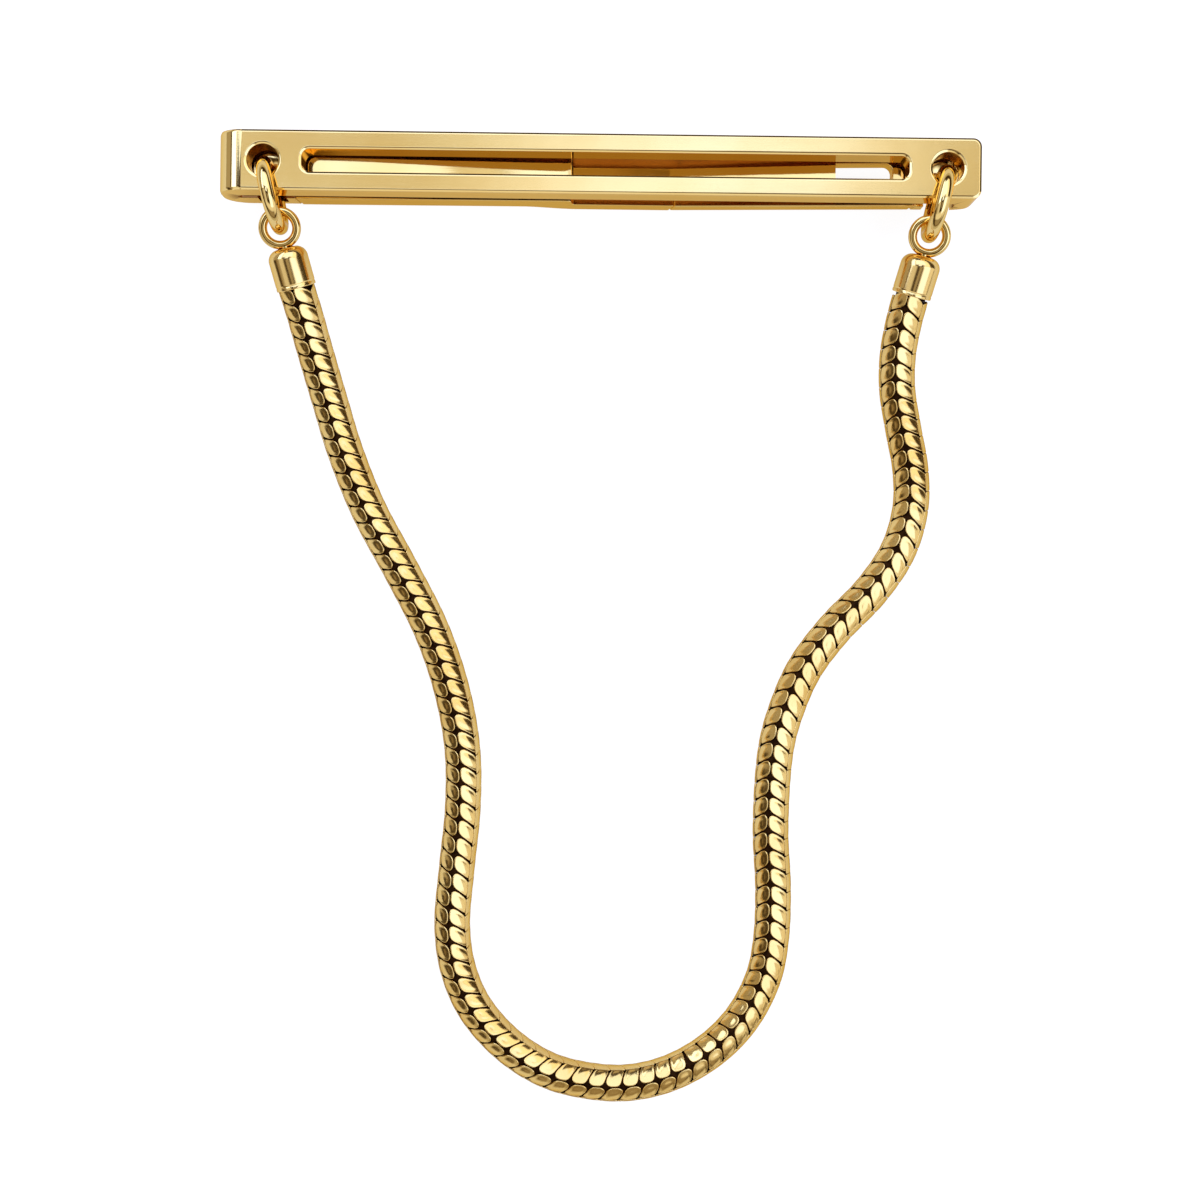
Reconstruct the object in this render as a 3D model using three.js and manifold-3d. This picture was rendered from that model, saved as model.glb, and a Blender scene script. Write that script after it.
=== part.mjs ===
// A gold tie bar that lies face up: a slotted front bar with a spring back of two leaves, and a snake chain
// that hangs from two jump rings. Millimetres, +X along the bar, +Y away from the chain, +Z out of the front
// face. The origin is midway between the two holes, on the face that it rests on.
import * as THREE from "three";
import { mergeVertices } from "three/addons/utils/BufferGeometryUtils.js";
import Module from "manifold-3d";

const wasm = await Module();
wasm.setup();

// Front bar
const HOLE_SPACING = 51.5;
const LEFT_END_MARGIN = 3.5;
const RIGHT_END_MARGIN = 2.5;
const BAR_HEIGHT = 4.55;
const PLATE_THICKNESS = 2.2;
const EDGE_BEVEL = 0.16;
const END_CORNER_RADIUS = 0.65;
const SLOT_HOLE_MARGIN = 2.9;
const SLOT_HEIGHT = 1.8;
const SLOT_CORNER_RADIUS = 0.6;
const HOLE_DIAMETER = 2.4;

// Left fold and right end, each with a short return that carries a leaf
const FOLD_WALL = 1.3;
const FOLD_FRONT_RADIUS = 1.95;
const FOLD_REAR_RADIUS = 1.9;
const LEFT_SLIT = 0.7;
const LEFT_LEAF_THICKNESS = 2.1;
const END_WALL = 1.6;
const END_REAR_RADIUS = 1.9;
const RIGHT_SLIT = 0.8;
const RIGHT_LEAF_THICKNESS = 1.35;
const RETURN_LIP = 0.8;
const NOTCH_WIDTH = 2.2;
const NOTCH_SHIFT = 0.26;

// Spring leaf, with the step that makes room for the tongue plate
const LEAF_HEIGHT = 4.55;
const LEAF_BEVEL = 0.14;
const STEP_START_X = -6.4;
const STEP_LENGTH = 3.8;
const STEP_DEPTH = 0.7;
const SHOULDER_LENGTH = 0.9;
const STEPPED_THICKNESS = 1.6;
const TONGUE_THICKNESS = 0.5;
const TONGUE_HEIGHT = 3.2;
const TONGUE_SEAT_LENGTH = 7.4;
const TONGUE_REACH = 12.6;

// Outer leaf, flared down to the resting face at its tip
const WINDOW_HEIGHT = 1.9;
const WINDOW_TIP_MARGIN = 2.45;
const WINDOW_ROOT_MARGIN = 1.3;

// Jump rings and eye pins
const RING_OUTER_DIAMETER = 6;
const RING_WIRE = 1.12;
const RING_DROP = 2.55;
const RING_LEAN = THREE.MathUtils.degToRad(13.5);
const EYE_SAG = 0.08;
const EYE_OUTER_DIAMETER = 3.2;
const EYE_WIRE = 0.7;
const SHANK_DEPTH = 1.2;

// End caps and chain
const CAP_DIAMETER = 3;
const CAP_LENGTH = 3.1;
const CAP_SHOULDER = 0.85;
const CAP_MOUTH_BEVEL = 0.15;
const CAP_LEAN = THREE.MathUtils.degToRad(15);
const CAP_PITCH = THREE.MathUtils.degToRad(14);
const CHAIN_DIAMETER = 2.85;
const CHAIN_SIDES = 8;
const CHAIN_STEPS = 64;

// Clearances
const LEAF_GAP = 0.3;
const TONGUE_GAP = 0.25;
const SEAT_GAP = 0.2;
const TIP_GAP = 0.35;
const SOLDER_GAP = 0.05;
const NOTCH_GAP = 0.3;
const SHANK_GAP = 0.15;
const CHAIN_GAP = 0.3;

// Facets
const ARC_STEPS = 8;
const HOLE_STEPS = 32;
const RING_STEPS = 32;
const EYE_STEPS = 24;
const WIRE_SIDES = 10;
const CAP_SIDES = 24;

// Heights above the resting face
const leftReturnTopZ = STEP_DEPTH + LEFT_LEAF_THICKNESS;
const plateUnderZ = leftReturnTopZ + LEFT_SLIT;
const frontZ = plateUnderZ + PLATE_THICKNESS;
const plateMiddleZ = plateUnderZ + PLATE_THICKNESS / 2;
const rightReturnTopZ = plateUnderZ - RIGHT_SLIT;
const rightReturnUnderZ = rightReturnTopZ - RIGHT_LEAF_THICKNESS;

// Places along the bar
const holeX = HOLE_SPACING / 2;
const barLeftX = -holeX - LEFT_END_MARGIN;
const barRightX = holeX + RIGHT_END_MARGIN;
const slotEndX = holeX - SLOT_HOLE_MARGIN;
const notchX = holeX - NOTCH_SHIFT;
const returnEndX = notchX - NOTCH_WIDTH / 2 - RETURN_LIP;
const leafRootX = returnEndX - LEAF_GAP;
const stepEndX = STEP_START_X + STEP_LENGTH;
const tongueSeatX = stepEndX + SEAT_GAP;
const springLeafTipX = tongueSeatX + TONGUE_SEAT_LENGTH;
const outerLeafTipX = springLeafTipX + TIP_GAP;

// A solid from a closed geometry, and a geometry back from a solid.
function toSolid(geometry) {
  const bare = geometry.index ? geometry.toNonIndexed() : geometry.clone();
  bare.deleteAttribute("normal");
  bare.deleteAttribute("uv");
  const merged = mergeVertices(bare, 1e-4);
  const mesh = new wasm.Mesh({
    numProp: 3,
    vertProperties: merged.attributes.position.array,
    triVerts: new Uint32Array(merged.index.array),
  });
  return new wasm.Manifold(mesh);
}

function toGeometry(solid) {
  const mesh = solid.getMesh();
  const geometry = new THREE.BufferGeometry();
  geometry.setAttribute("position", new THREE.BufferAttribute(mesh.vertProperties, 3));
  geometry.setIndex(new THREE.BufferAttribute(mesh.triVerts, 1));
  const flat = geometry.toNonIndexed();
  flat.computeVertexNormals();
  return flat;
}

// A side outline in X and Z, carried across the height of the bar with bevelled long edges.
function acrossBar(outline, height, bevel) {
  const geometry = new THREE.ExtrudeGeometry(outline, {
    depth: height - 2 * bevel,
    bevelEnabled: true,
    bevelThickness: bevel,
    bevelSize: bevel,
    bevelOffset: -bevel,
    bevelSegments: 1,
    curveSegments: ARC_STEPS,
  });
  geometry.translate(0, 0, bevel - height / 2);
  geometry.rotateX(Math.PI / 2);
  return geometry;
}

function roundedRectangle(left, right, halfHeight, radius) {
  const shape = new THREE.Shape();
  shape.moveTo(left + radius, -halfHeight);
  shape.lineTo(right - radius, -halfHeight);
  shape.absarc(right - radius, radius - halfHeight, radius, -Math.PI / 2, 0);
  shape.lineTo(right, halfHeight - radius);
  shape.absarc(right - radius, halfHeight - radius, radius, 0, Math.PI / 2);
  shape.lineTo(left + radius, halfHeight);
  shape.absarc(left + radius, halfHeight - radius, radius, Math.PI / 2, Math.PI);
  shape.lineTo(left, radius - halfHeight);
  shape.absarc(left + radius, radius - halfHeight, radius, Math.PI, Math.PI * 1.5);
  return shape;
}

function upright(shape, bottomZ, topZ, steps) {
  const geometry = new THREE.ExtrudeGeometry(shape, {
    depth: topZ - bottomZ,
    bevelEnabled: false,
    curveSegments: steps,
  });
  return geometry.translate(0, 0, bottomZ);
}

// A cutter for an opening in the front plate, flared at the front face into a bevelled rim.
function rimmedCutter(shape, steps) {
  const straight = upright(shape, plateUnderZ - LEFT_SLIT / 2, frontZ, steps);
  const flare = new THREE.ExtrudeGeometry(shape, {
    depth: PLATE_THICKNESS,
    bevelEnabled: true,
    bevelThickness: EDGE_BEVEL,
    bevelSize: EDGE_BEVEL,
    bevelSegments: 1,
    curveSegments: steps,
  });
  flare.translate(0, 0, frontZ);
  return toSolid(straight).add(toSolid(flare));
}

// The bar's outline seen from below its lower edge: the plate, the left fold, the right end and both returns.
function barOutline() {
  const slitLeftX = barLeftX + FOLD_WALL;
  const slitRightX = barRightX - END_WALL;
  const leftSlitRadius = LEFT_SLIT / 2;
  const rightSlitRadius = RIGHT_SLIT / 2;
  const quarter = Math.PI / 2;
  const shape = new THREE.Shape();
  shape.moveTo(barRightX, frontZ - EDGE_BEVEL);
  shape.lineTo(barRightX - EDGE_BEVEL, frontZ);
  shape.lineTo(barLeftX + FOLD_FRONT_RADIUS, frontZ);
  shape.absarc(
    barLeftX + FOLD_FRONT_RADIUS,
    frontZ - FOLD_FRONT_RADIUS,
    FOLD_FRONT_RADIUS,
    quarter,
    2 * quarter,
  );
  shape.lineTo(barLeftX, STEP_DEPTH + FOLD_REAR_RADIUS);
  shape.absarc(
    barLeftX + FOLD_REAR_RADIUS,
    STEP_DEPTH + FOLD_REAR_RADIUS,
    FOLD_REAR_RADIUS,
    2 * quarter,
    3 * quarter,
  );
  shape.lineTo(-returnEndX, STEP_DEPTH);
  shape.lineTo(-returnEndX, leftReturnTopZ);
  shape.lineTo(slitLeftX + leftSlitRadius, leftReturnTopZ);
  shape.absarc(
    slitLeftX + leftSlitRadius,
    leftReturnTopZ + leftSlitRadius,
    leftSlitRadius,
    3 * quarter,
    quarter,
    true,
  );
  shape.lineTo(slitRightX - rightSlitRadius, plateUnderZ);
  shape.absarc(
    slitRightX - rightSlitRadius,
    plateUnderZ - rightSlitRadius,
    rightSlitRadius,
    quarter,
    -quarter,
    true,
  );
  shape.lineTo(returnEndX, rightReturnTopZ);
  shape.lineTo(returnEndX, rightReturnUnderZ);
  shape.lineTo(barRightX - END_REAR_RADIUS, rightReturnUnderZ);
  shape.absarc(
    barRightX - END_REAR_RADIUS,
    rightReturnUnderZ + END_REAR_RADIUS,
    END_REAR_RADIUS,
    -quarter,
    0,
  );
  return shape;
}

// The notch in a return that a jump ring passes through, on the side given by side (-1 left, 1 right).
function ringNotch(side, returnTopZ) {
  const ringRadius = RING_OUTER_DIAMETER / 2;
  const below = plateMiddleZ - returnTopZ;
  const topY = Math.sqrt(ringRadius ** 2 - below ** 2) - RING_DROP * Math.cos(RING_LEAN) + NOTCH_GAP;
  const height = topY + BAR_HEIGHT;
  const floorZ = plateMiddleZ - ringRadius - NOTCH_GAP;
  const depth = returnTopZ + LEFT_SLIT / 2 - floorZ;
  const box = new THREE.BoxGeometry(NOTCH_WIDTH, height, depth);
  return toSolid(box.translate(side * notchX, topY - height / 2, floorZ + depth / 2));
}

function frontBar() {
  const slot = roundedRectangle(-slotEndX, slotEndX, SLOT_HEIGHT / 2, SLOT_CORNER_RADIUS);
  const envelope = roundedRectangle(2 * barLeftX, barRightX, BAR_HEIGHT / 2, END_CORNER_RADIUS);
  let solid = toSolid(acrossBar(barOutline(), BAR_HEIGHT, EDGE_BEVEL));
  solid = solid.intersect(toSolid(upright(envelope, -frontZ, 2 * frontZ, ARC_STEPS)));
  solid = solid.subtract(rimmedCutter(slot, ARC_STEPS));
  for (const side of [-1, 1]) {
    const hole = new THREE.Shape().absarc(side * holeX, 0, HOLE_DIAMETER / 2, 0, 2 * Math.PI);
    solid = solid.subtract(rimmedCutter(hole, HOLE_STEPS));
    solid = solid.subtract(ringNotch(side, side < 0 ? leftReturnTopZ : rightReturnTopZ));
  }
  return toGeometry(solid);
}

function springLeaf() {
  const outline = new THREE.Shape();
  outline.moveTo(-leafRootX, STEP_DEPTH);
  outline.lineTo(STEP_START_X, STEP_DEPTH);
  outline.lineTo(stepEndX, 0);
  outline.lineTo(springLeafTipX, 0);
  outline.lineTo(springLeafTipX, STEPPED_THICKNESS);
  outline.lineTo(stepEndX, STEPPED_THICKNESS);
  outline.lineTo(stepEndX - SHOULDER_LENGTH, leftReturnTopZ);
  outline.lineTo(-leafRootX, leftReturnTopZ);
  return acrossBar(outline, LEAF_HEIGHT, LEAF_BEVEL);
}

// Height of the outer leaf's inner face at a place along the bar.
function outerLeafInnerZ(x) {
  const share = (x - outerLeafTipX) / (leafRootX - outerLeafTipX);
  return RIGHT_LEAF_THICKNESS + share * (rightReturnTopZ - RIGHT_LEAF_THICKNESS);
}

function tonguePlate() {
  const seatZ = STEPPED_THICKNESS + SOLDER_GAP;
  const tipX = springLeafTipX + TONGUE_REACH;
  const tipZ = outerLeafInnerZ(tipX) + TONGUE_GAP;
  const outline = new THREE.Shape();
  outline.moveTo(tongueSeatX, seatZ);
  outline.lineTo(springLeafTipX, seatZ);
  outline.lineTo(tipX, tipZ);
  outline.lineTo(tipX, tipZ + TONGUE_THICKNESS);
  outline.lineTo(springLeafTipX, seatZ + TONGUE_THICKNESS);
  outline.lineTo(tongueSeatX, seatZ + TONGUE_THICKNESS);
  return acrossBar(outline, TONGUE_HEIGHT, LEAF_BEVEL);
}

function outerLeaf() {
  const outline = new THREE.Shape();
  outline.moveTo(outerLeafTipX, 0);
  outline.lineTo(leafRootX, rightReturnUnderZ);
  outline.lineTo(leafRootX, rightReturnTopZ);
  outline.lineTo(outerLeafTipX, RIGHT_LEAF_THICKNESS);
  const windowLeft = outerLeafTipX + WINDOW_TIP_MARGIN;
  const windowRight = leafRootX - WINDOW_ROOT_MARGIN;
  const window = roundedRectangle(windowLeft, windowRight, WINDOW_HEIGHT / 2, SLOT_CORNER_RADIUS);
  const leaf = toSolid(acrossBar(outline, LEAF_HEIGHT, LEAF_BEVEL));
  return toGeometry(leaf.subtract(toSolid(upright(window, -frontZ, frontZ, ARC_STEPS))));
}

// A wire ring round the Y axis of its own frame, so that it stands on edge.
function jumpRing() {
  const wire = RING_WIRE / 2;
  const ring = new THREE.TorusGeometry(RING_OUTER_DIAMETER / 2 - wire, wire, WIRE_SIDES, RING_STEPS);
  return ring.rotateY(Math.PI / 2);
}

// A loop round its own origin with a shank along -Y, which goes into the end cap.
function eyePin() {
  const wire = EYE_WIRE / 2;
  const loopRadius = EYE_OUTER_DIAMETER / 2 - wire;
  const loop = new THREE.TorusGeometry(loopRadius, wire, WIRE_SIDES, EYE_STEPS);
  const shankEnd = EYE_OUTER_DIAMETER / 2 + SHANK_DEPTH;
  const shankLength = shankEnd - loopRadius;
  const shank = new THREE.CylinderGeometry(wire, wire, shankLength, WIRE_SIDES);
  shank.translate(0, shankLength / 2 - shankEnd, 0);
  return toGeometry(toSolid(loop).add(toSolid(shank)));
}

// A domed cap along -Y from its own origin, with a blind bore for the shank in its dome.
function endCap() {
  const radius = CAP_DIAMETER / 2;
  const bore = EYE_WIRE / 2 + SHANK_GAP;
  const profile = [new THREE.Vector2(0, -CAP_LENGTH)];
  profile.push(new THREE.Vector2(radius - CAP_MOUTH_BEVEL, -CAP_LENGTH));
  profile.push(new THREE.Vector2(radius, CAP_MOUTH_BEVEL - CAP_LENGTH));
  for (let i = 0; i <= ARC_STEPS; i++) {
    const angle = ((Math.PI / 2) * i) / ARC_STEPS;
    const outward = radius - CAP_SHOULDER * (1 - Math.cos(angle));
    profile.push(new THREE.Vector2(outward, CAP_SHOULDER * (Math.sin(angle) - 1)));
  }
  const boreBottom = -SHANK_DEPTH - SHANK_GAP;
  profile.push(new THREE.Vector2(bore, 0));
  profile.push(new THREE.Vector2(bore, boreBottom));
  profile.push(new THREE.Vector2(0, boreBottom));
  return new THREE.LatheGeometry(profile, CAP_SIDES);
}

// Where the eye pins, caps and chain ends lie on each side.
const wireRadius = RING_WIRE / 2;
const ringMeanRadius = RING_OUTER_DIAMETER / 2 - wireRadius;
const capStart = EYE_OUTER_DIAMETER / 2;
const chainStart = capStart + CAP_LENGTH + CHAIN_GAP;

function ringCentre(side) {
  const inward = -side * Math.sin(RING_LEAN);
  return new THREE.Vector3(side * holeX + inward * RING_DROP, -RING_DROP * Math.cos(RING_LEAN), plateMiddleZ);
}

function eyeCentre(side) {
  const reach = RING_DROP + ringMeanRadius + EYE_SAG;
  const inward = -side * Math.sin(RING_LEAN);
  return new THREE.Vector3(side * holeX + inward * reach, -reach * Math.cos(RING_LEAN), plateMiddleZ);
}

function capDirection(side) {
  const level = Math.cos(CAP_PITCH);
  const inward = -side * Math.sin(CAP_LEAN);
  return new THREE.Vector3(inward * level, -Math.cos(CAP_LEAN) * level, -Math.sin(CAP_PITCH));
}

function chainEnd(side) {
  return eyeCentre(side).addScaledVector(capDirection(side), chainStart);
}

// The chain's middle line between its two ends. A point with two numbers lies on the resting face.
const CHAIN_ROUTE = [
  [-22.85, -11.2, 2.9],
  [-22.3, -13.3, 2.25],
  [-21.65, -15.6, 1.8],
  [-21, -17.8, 1.5],
  [-19.9, -21.3],
  [-18, -25.9],
  [-15.4, -30.6],
  [-13, -35.2],
  [-11.4, -39.7],
  [-10.5, -44.3],
  [-10.4, -48.9],
  [-10.8, -53.5],
  [-11.1, -58.1],
  [-10.6, -61.4],
  [-9.25, -64.4],
  [-6.7, -67.2],
  [-3.6, -69.1],
  [-0.4, -69.9],
  [2.7, -70],
  [5.9, -69.2],
  [9, -67.4],
  [11.4, -64.9],
  [13, -61.7],
  [13.55, -58.7],
  [13.65, -54.8],
  [13.4, -50.2],
  [13.75, -44],
  [14.55, -40.9],
  [15.9, -37.8],
  [18.1, -34.8],
  [21, -31.7],
  [23, -28.6],
  [23.9, -25.3],
  [23.85, -22.3],
  [23.25, -19.2, 1.5],
  [22.7, -16.2, 1.8],
  [22.65, -13.6, 2.25],
  [22.95, -11.3, 2.9],
];

function snakeChain() {
  const radius = CHAIN_DIAMETER / 2;
  const middle = CHAIN_ROUTE.map(([x, y, z = radius]) => new THREE.Vector3(x, y, z));
  const curve = new THREE.CatmullRomCurve3([chainEnd(-1), ...middle, chainEnd(1)]);
  const section = new THREE.Shape();
  for (let i = 0; i < CHAIN_SIDES; i++) {
    const angle = (2 * Math.PI * (i + 0.5)) / CHAIN_SIDES;
    const corner = [radius * Math.cos(angle), radius * Math.sin(angle)];
    if (i === 0) section.moveTo(...corner);
    else section.lineTo(...corner);
  }
  section.closePath();
  return new THREE.ExtrudeGeometry(section, { extrudePath: curve, steps: CHAIN_STEPS, bevelEnabled: false });
}

const polishedGold = new THREE.MeshStandardMaterial({ color: 0xe2b357, roughness: 0.14, metalness: 1 });
const springGold = new THREE.MeshStandardMaterial({ color: 0xd6a24a, roughness: 0.22, metalness: 1 });
const wireGold = new THREE.MeshStandardMaterial({ color: 0xdcaa4c, roughness: 0.16, metalness: 1 });
const chainGold = new THREE.MeshStandardMaterial({ color: 0xd9a348, roughness: 0.2, metalness: 1 });

const tieBar = new THREE.Group();

function add(name, geometry, material, parent = tieBar) {
  const mesh = new THREE.Mesh(geometry, material);
  mesh.name = name;
  parent.add(mesh);
  return mesh;
}

add("front_bar", frontBar(), polishedGold);
add("spring_leaf", springLeaf(), springGold);
add("tongue_plate", tonguePlate(), springGold);
add("outer_leaf", outerLeaf(), springGold);
add("snake_chain", snakeChain(), chainGold);

for (const side of [-1, 1]) {
  const name = side < 0 ? "left" : "right";
  const ring = add(name + "_jump_ring", jumpRing(), wireGold);
  ring.position.copy(ringCentre(side));
  ring.rotation.z = -side * RING_LEAN;

  const drop = new THREE.Group();
  drop.position.copy(eyeCentre(side));
  drop.rotation.set(CAP_PITCH, 0, -side * CAP_LEAN, "ZYX");
  tieBar.add(drop);
  add(name + "_eye_pin", eyePin(), wireGold, drop);
  const cap = add(name + "_end_cap", endCap(), polishedGold, drop);
  cap.position.y = -capStart;
}

export default tieBar;
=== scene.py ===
import math

import bmesh
import bpy
from mathutils import Matrix, Vector


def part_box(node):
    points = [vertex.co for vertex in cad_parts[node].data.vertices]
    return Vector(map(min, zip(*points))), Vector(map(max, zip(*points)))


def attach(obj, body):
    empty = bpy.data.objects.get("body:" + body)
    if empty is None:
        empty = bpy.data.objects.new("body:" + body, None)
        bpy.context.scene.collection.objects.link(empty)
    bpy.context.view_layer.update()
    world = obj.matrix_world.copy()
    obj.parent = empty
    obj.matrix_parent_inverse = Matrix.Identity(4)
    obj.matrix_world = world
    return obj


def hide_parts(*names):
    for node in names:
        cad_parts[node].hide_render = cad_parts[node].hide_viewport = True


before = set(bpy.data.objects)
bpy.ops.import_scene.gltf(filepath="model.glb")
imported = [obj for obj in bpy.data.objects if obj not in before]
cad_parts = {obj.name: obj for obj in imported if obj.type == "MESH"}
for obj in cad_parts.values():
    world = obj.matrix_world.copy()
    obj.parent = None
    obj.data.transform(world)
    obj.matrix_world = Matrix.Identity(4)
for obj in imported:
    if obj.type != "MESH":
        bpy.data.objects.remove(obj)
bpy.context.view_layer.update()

mm = 0.001  # lengths below are in millimetres, and meshes are made in metres
scene = bpy.context.scene
scene.view_settings.view_transform = "Standard"


# camera, straight down on the bar and its chain
cameraSetup = {"lens": 56.0, "sensor": 36.0, "place": (0.0, -32.74, 145.7), "turn": 0.72, "near": 2.0}

cameraData = bpy.data.cameras.new("tableCamera")
cameraData.lens = cameraSetup["lens"]
cameraData.sensor_width = cameraSetup["sensor"]
cameraData.clip_start = cameraSetup["near"] * mm
tableCamera = bpy.data.objects.new("tableCamera", cameraData)
tableCamera.location = Vector(cameraSetup["place"]) * mm
tableCamera.rotation_euler = (0, 0, math.radians(cameraSetup["turn"]))
scene.collection.objects.link(tableCamera)
scene.camera = tableCamera
print("camera set")


# shader maths: a Signal wraps a socket, and a Board is the node tree that it lives on
class Signal:
    def __init__(self, board, socket):
        self.board = board
        self.socket = socket

    def join(self, operation, first, second):
        return self.board.node("ShaderNodeMath", {"operation": operation}, [first, second])

    def __add__(self, other):
        return self.join("ADD", self, other)

    def __radd__(self, other):
        return self.join("ADD", other, self)

    def __sub__(self, other):
        return self.join("SUBTRACT", self, other)

    def __rsub__(self, other):
        return self.join("SUBTRACT", other, self)

    def __mul__(self, other):
        return self.join("MULTIPLY", self, other)

    def __rmul__(self, other):
        return self.join("MULTIPLY", other, self)

    def atLeast(self, other):
        return self.join("MAXIMUM", self, other)

    def rise(self, low, high):  # smooth step from 0 at low to 1 at high
        return self.board.node("ShaderNodeMapRange", {"interpolation_type": "SMOOTHSTEP"}, [self, low, high])

    def window(self, low, high, soft):  # 1 between low and high, with soft edges
        return self.rise(low - soft, low + soft) * (1 - self.rise(high - soft, high + soft))


class Board:
    def __init__(self, tree):
        self.tree = tree
        tree.nodes.clear()

    def node(self, kind, settings, sockets, output=0):
        made = self.tree.nodes.new(kind)
        for name, value in settings.items():
            setattr(made, name, value)
        pairs = sockets.items() if isinstance(sockets, dict) else enumerate(sockets)
        for key, value in pairs:
            if isinstance(value, Signal):
                self.tree.links.new(value.socket, made.inputs[key])
            else:
                made.inputs[key].default_value = value
        return Signal(self, made.outputs[output]) if made.outputs else None

    def mixColour(self, share, first, second):
        return self.node("ShaderNodeMix", {"data_type": "RGBA"}, {0: share, 6: first, 7: second}, 2)

    def placeInMm(self):
        place = self.node("ShaderNodeTexCoord", {}, [], "Object")
        return self.node("ShaderNodeVectorMath", {"operation": "SCALE"}, {0: place, "Scale": 1 / mm})


def newMaterial(name):
    material = bpy.data.materials.new(name)
    material.use_nodes = True
    return material, Board(material.node_tree)


# gold finishes: polish streaks, a faint tone drift, dull spots and a soft waviness
goldLooks = {
    "polishedGold": {"tone": (0.94, 0.665, 0.245), "deep": (0.90, 0.60, 0.195), "edge": (0.93, 0.72, 0.38),
                     "rough": 0.07, "streak": 0.035, "grain": (0.5, 9.0, 9.0), "wave": 0.10},
    "capGold": {"tone": (0.94, 0.655, 0.235), "deep": (0.90, 0.59, 0.185), "edge": (0.93, 0.72, 0.38),
                "rough": 0.15, "streak": 0.03, "grain": (6.0, 6.0, 6.0), "wave": 0.08},
    "springGold": {"tone": (0.92, 0.63, 0.21), "deep": (0.86, 0.54, 0.15), "edge": (0.90, 0.66, 0.30),
                   "rough": 0.06, "streak": 0.04, "grain": (0.6, 14.0, 14.0), "wave": 0.10},
    "wireGold": {"tone": (0.92, 0.64, 0.22), "deep": (0.86, 0.55, 0.16), "edge": (0.90, 0.66, 0.30),
                 "rough": 0.08, "streak": 0.04, "grain": (5.0, 5.0, 5.0), "wave": 0.12},
    "scaleGold": {"tone": (0.92, 0.63, 0.21), "deep": (0.80, 0.48, 0.12), "edge": (0.86, 0.60, 0.26),
                  "rough": 0.17, "streak": 0.06, "grain": (6.0, 6.0, 6.0), "wave": 0.10},
}


# patterns that the finishes share, in noise per millimetre, and how far each one goes
goldPattern = {
    "streaks": {"Scale": 1.0, "Detail": 4.0, "Roughness": 0.6}, "drift": {"Scale": 0.16, "Detail": 2.0},
    "spots": {"Scale": 2.6, "Detail": 5.0, "Roughness": 0.7}, "waves": {"Scale": 0.45, "Detail": 1.0},
    "driftRange": (0.3, 0.75), "driftShare": 0.8, "dullRange": (0.56, 0.8), "dullShare": 0.2,
    "dullRough": 0.05, "maskRange": (0.1, 0.95), "waveShare": 0.7, "bump": 0.10, "bumpHeight": 0.00004,
    "leastRough": 0.03,
}
# painted shade that darkens the gold: at the roots of the scales, and on the holes' walls and inside the bar
goldMasks = {
    "gapShade": {"tone": (0.10, 0.04, 0.012, 1), "share": 0.9, "rough": 0.12},
    "recessShade": {"tone": (0.24, 0.075, 0.03, 1), "share": 0.85, "rough": 0.14},
}


def goldMaterial(name, maskName=None):
    look, pattern = goldLooks[name], goldPattern
    material, board = newMaterial(name)
    inMm = board.placeInMm()
    drawn = board.node("ShaderNodeVectorMath", {"operation": "MULTIPLY"}, [inMm, look["grain"]])
    streaks = board.node("ShaderNodeTexNoise", {}, {"Vector": drawn, **pattern["streaks"]})
    drift = board.node("ShaderNodeTexNoise", {}, {"Vector": inMm, **pattern["drift"]})
    spots = board.node("ShaderNodeTexNoise", {}, {"Vector": inMm, **pattern["spots"]})
    waves = board.node("ShaderNodeTexNoise", {}, {"Vector": inMm, **pattern["waves"]})
    dull = spots.rise(*pattern["dullRange"])
    deepShare = drift.rise(*pattern["driftRange"]) * pattern["driftShare"] + dull * pattern["dullShare"]
    tone = board.mixColour(deepShare, (*look["tone"], 1), (*look["deep"], 1))
    rough = look["rough"] + (streaks - 0.5) * look["streak"] + dull * pattern["dullRough"]
    # painted shade: where the named mask is set, the gold is darkened towards the mask's tone and made
    # rougher
    if maskName:
        mask = goldMasks[maskName]
        marked = board.node("ShaderNodeAttribute", {"attribute_name": maskName}, [], "Fac")
        paintedShade = marked.rise(*pattern["maskRange"])
        tone = board.mixColour(paintedShade * mask["share"], tone, mask["tone"])
        rough = rough + paintedShade * mask["rough"]
    height = waves * pattern["waveShare"] + streaks * look["wave"]
    bump = board.node("ShaderNodeBump", {}, {
        "Strength": pattern["bump"], "Distance": pattern["bumpHeight"], "Height": height})
    metal = board.node("ShaderNodeBsdfPrincipled", {}, {
        "Base Color": tone, "Metallic": 1.0, "Roughness": rough.atLeast(pattern["leastRough"]),
        "Normal": bump, "Specular Tint": (*look["edge"], 1)})
    board.node("ShaderNodeOutputMaterial", {}, {"Surface": metal})
    return material


# painted shade: near-black, matt metal for the core deep between the scales, so the gaps between them read as
# shade
gapShadeLook = {"deep": (0.020, 0.007, 0.002, 1), "pale": (0.045, 0.016, 0.004, 1), "paleRange": (0.35, 0.7),
               "spots": {"Scale": 3.0, "Detail": 4.0}, "rough": 0.45, "spotRough": 0.25}


def gapShadeMaterial(look):
    material, board = newMaterial("paintedGapShade")
    spots = board.node("ShaderNodeTexNoise", {}, {"Vector": board.placeInMm(), **look["spots"]})
    tone = board.mixColour(spots.rise(*look["paleRange"]), look["deep"], look["pale"])
    metal = board.node("ShaderNodeBsdfPrincipled", {}, {
        "Base Color": tone, "Metallic": 1.0, "Roughness": look["rough"] + spots * look["spotRough"]})
    board.node("ShaderNodeOutputMaterial", {}, {"Surface": metal})
    return material


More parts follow.
